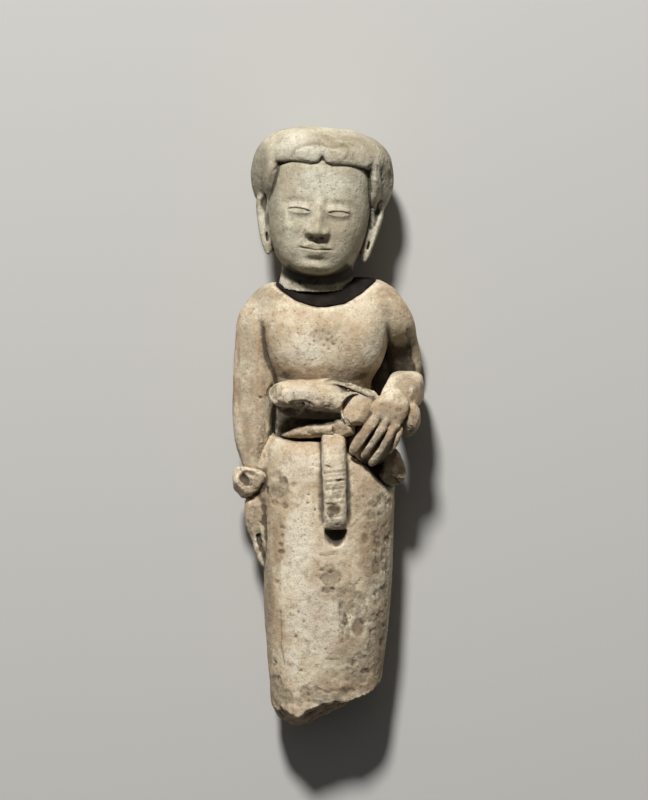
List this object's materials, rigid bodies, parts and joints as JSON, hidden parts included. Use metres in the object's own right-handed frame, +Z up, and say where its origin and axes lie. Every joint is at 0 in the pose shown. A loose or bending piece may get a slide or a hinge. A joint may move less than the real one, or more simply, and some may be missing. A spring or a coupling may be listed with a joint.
{
  "type": "fired-clay female figure fragment",
  "caption": "Standing female figure of fired clay with a set-back head and long sash, broken off across the skirt, lying on its back.",
  "frame": {"origin": "under the middle of the lying figure, on the surface it rests on", "axes": "+Y along the figure from the broken skirt to the crown, +X towards the figure's left side, +Z up out of the figure's front"},
  "size_m": [0.1609, 0.5091, 0.1062],
  "materials": {
    "body_clay": "unglazed fired clay, buff to tan, pitted and worn, dull",
    "head_clay": "unglazed fired clay, greyer buff, finely pitted, dull",
    "dark_filling": "smooth dark set filler, matt"
  },
  "bodies": {
    "root": {"torso": "body_clay", "head": "head_clay", "neck_filling": "dark_filling"}
  },
  "joints": []
}
